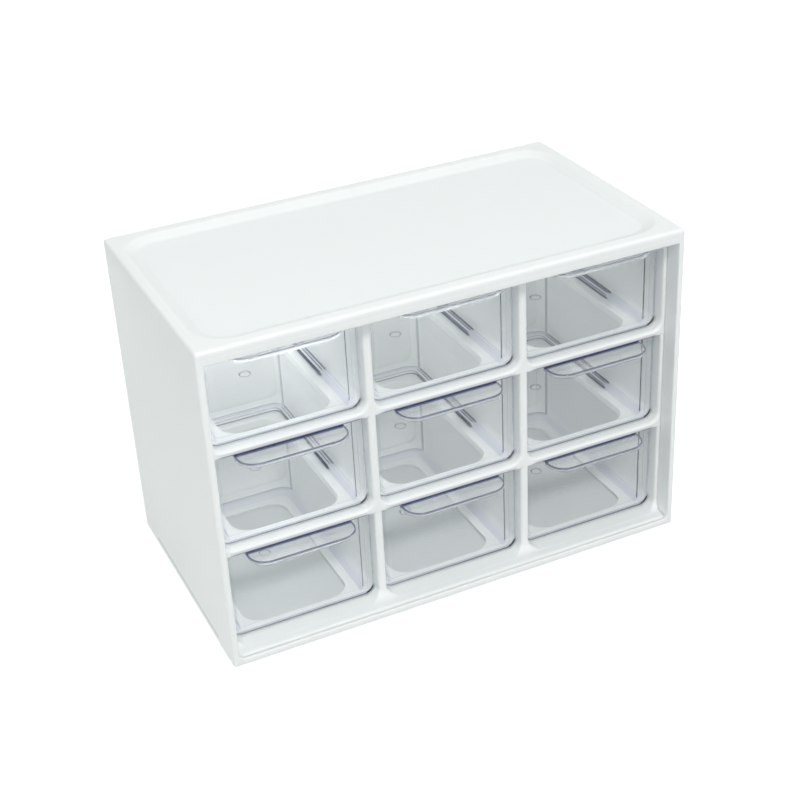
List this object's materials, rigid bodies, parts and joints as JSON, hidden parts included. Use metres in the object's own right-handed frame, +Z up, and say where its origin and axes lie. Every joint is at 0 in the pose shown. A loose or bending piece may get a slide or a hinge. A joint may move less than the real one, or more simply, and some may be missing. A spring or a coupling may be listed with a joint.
{
  "type": "desktop drawer organizer",
  "caption": "Small white desktop cabinet with rows of clear pull-out drawers behind a grid of shelves and dividers, and a shallow tray in its top.",
  "frame": {"origin": "middle of the footprint, on the surface that the case stands on", "axes": "+X to the right as seen by the user, -Y towards the user, where the drawers open, +Z up"},
  "size_m": [0.175, 0.098, 0.12],
  "materials": {
    "white_plastic": "moulded white polystyrene, polished, opaque",
    "clear_plastic": "moulded clear polystyrene, polished, see-through"
  },
  "bodies": {
    "case": {"case_shell": "white_plastic", "drawer_grid": "white_plastic"},
    "drawer_bottom_left": {"drawer_bottom_left": "clear_plastic"},
    "drawer_bottom_middle": {"drawer_bottom_middle": "clear_plastic"},
    "drawer_bottom_right": {"drawer_bottom_right": "clear_plastic"},
    "drawer_middle_left": {"drawer_middle_left": "clear_plastic"},
    "drawer_middle_middle": {"drawer_middle_middle": "clear_plastic"},
    "drawer_middle_right": {"drawer_middle_right": "clear_plastic"},
    "drawer_top_left": {"drawer_top_left": "clear_plastic"},
    "drawer_top_middle": {"drawer_top_middle": "clear_plastic"},
    "drawer_top_right": {"drawer_top_right": "clear_plastic"}
  },
  "joints": [
    {"name": "drawer_bottom_left_slide", "type": "slide", "parent": "case", "child": "drawer_bottom_left", "axis": [0, -1, 0], "range_m": [0, 0.06]},
    {"name": "drawer_bottom_middle_slide", "type": "slide", "parent": "case", "child": "drawer_bottom_middle", "axis": [0, -1, 0], "range_m": [0, 0.06]},
    {"name": "drawer_bottom_right_slide", "type": "slide", "parent": "case", "child": "drawer_bottom_right", "axis": [0, -1, 0], "range_m": [0, 0.06]},
    {"name": "drawer_middle_left_slide", "type": "slide", "parent": "case", "child": "drawer_middle_left", "axis": [0, -1, 0], "range_m": [0, 0.06]},
    {"name": "drawer_middle_middle_slide", "type": "slide", "parent": "case", "child": "drawer_middle_middle", "axis": [0, -1, 0], "range_m": [0, 0.06]},
    {"name": "drawer_middle_right_slide", "type": "slide", "parent": "case", "child": "drawer_middle_right", "axis": [0, -1, 0], "range_m": [0, 0.06]},
    {"name": "drawer_top_left_slide", "type": "slide", "parent": "case", "child": "drawer_top_left", "axis": [0, -1, 0], "range_m": [0, 0.06]},
    {"name": "drawer_top_middle_slide", "type": "slide", "parent": "case", "child": "drawer_top_middle", "axis": [0, -1, 0], "range_m": [0, 0.06]},
    {"name": "drawer_top_right_slide", "type": "slide", "parent": "case", "child": "drawer_top_right", "axis": [0, -1, 0], "range_m": [0, 0.06]}
  ]
}
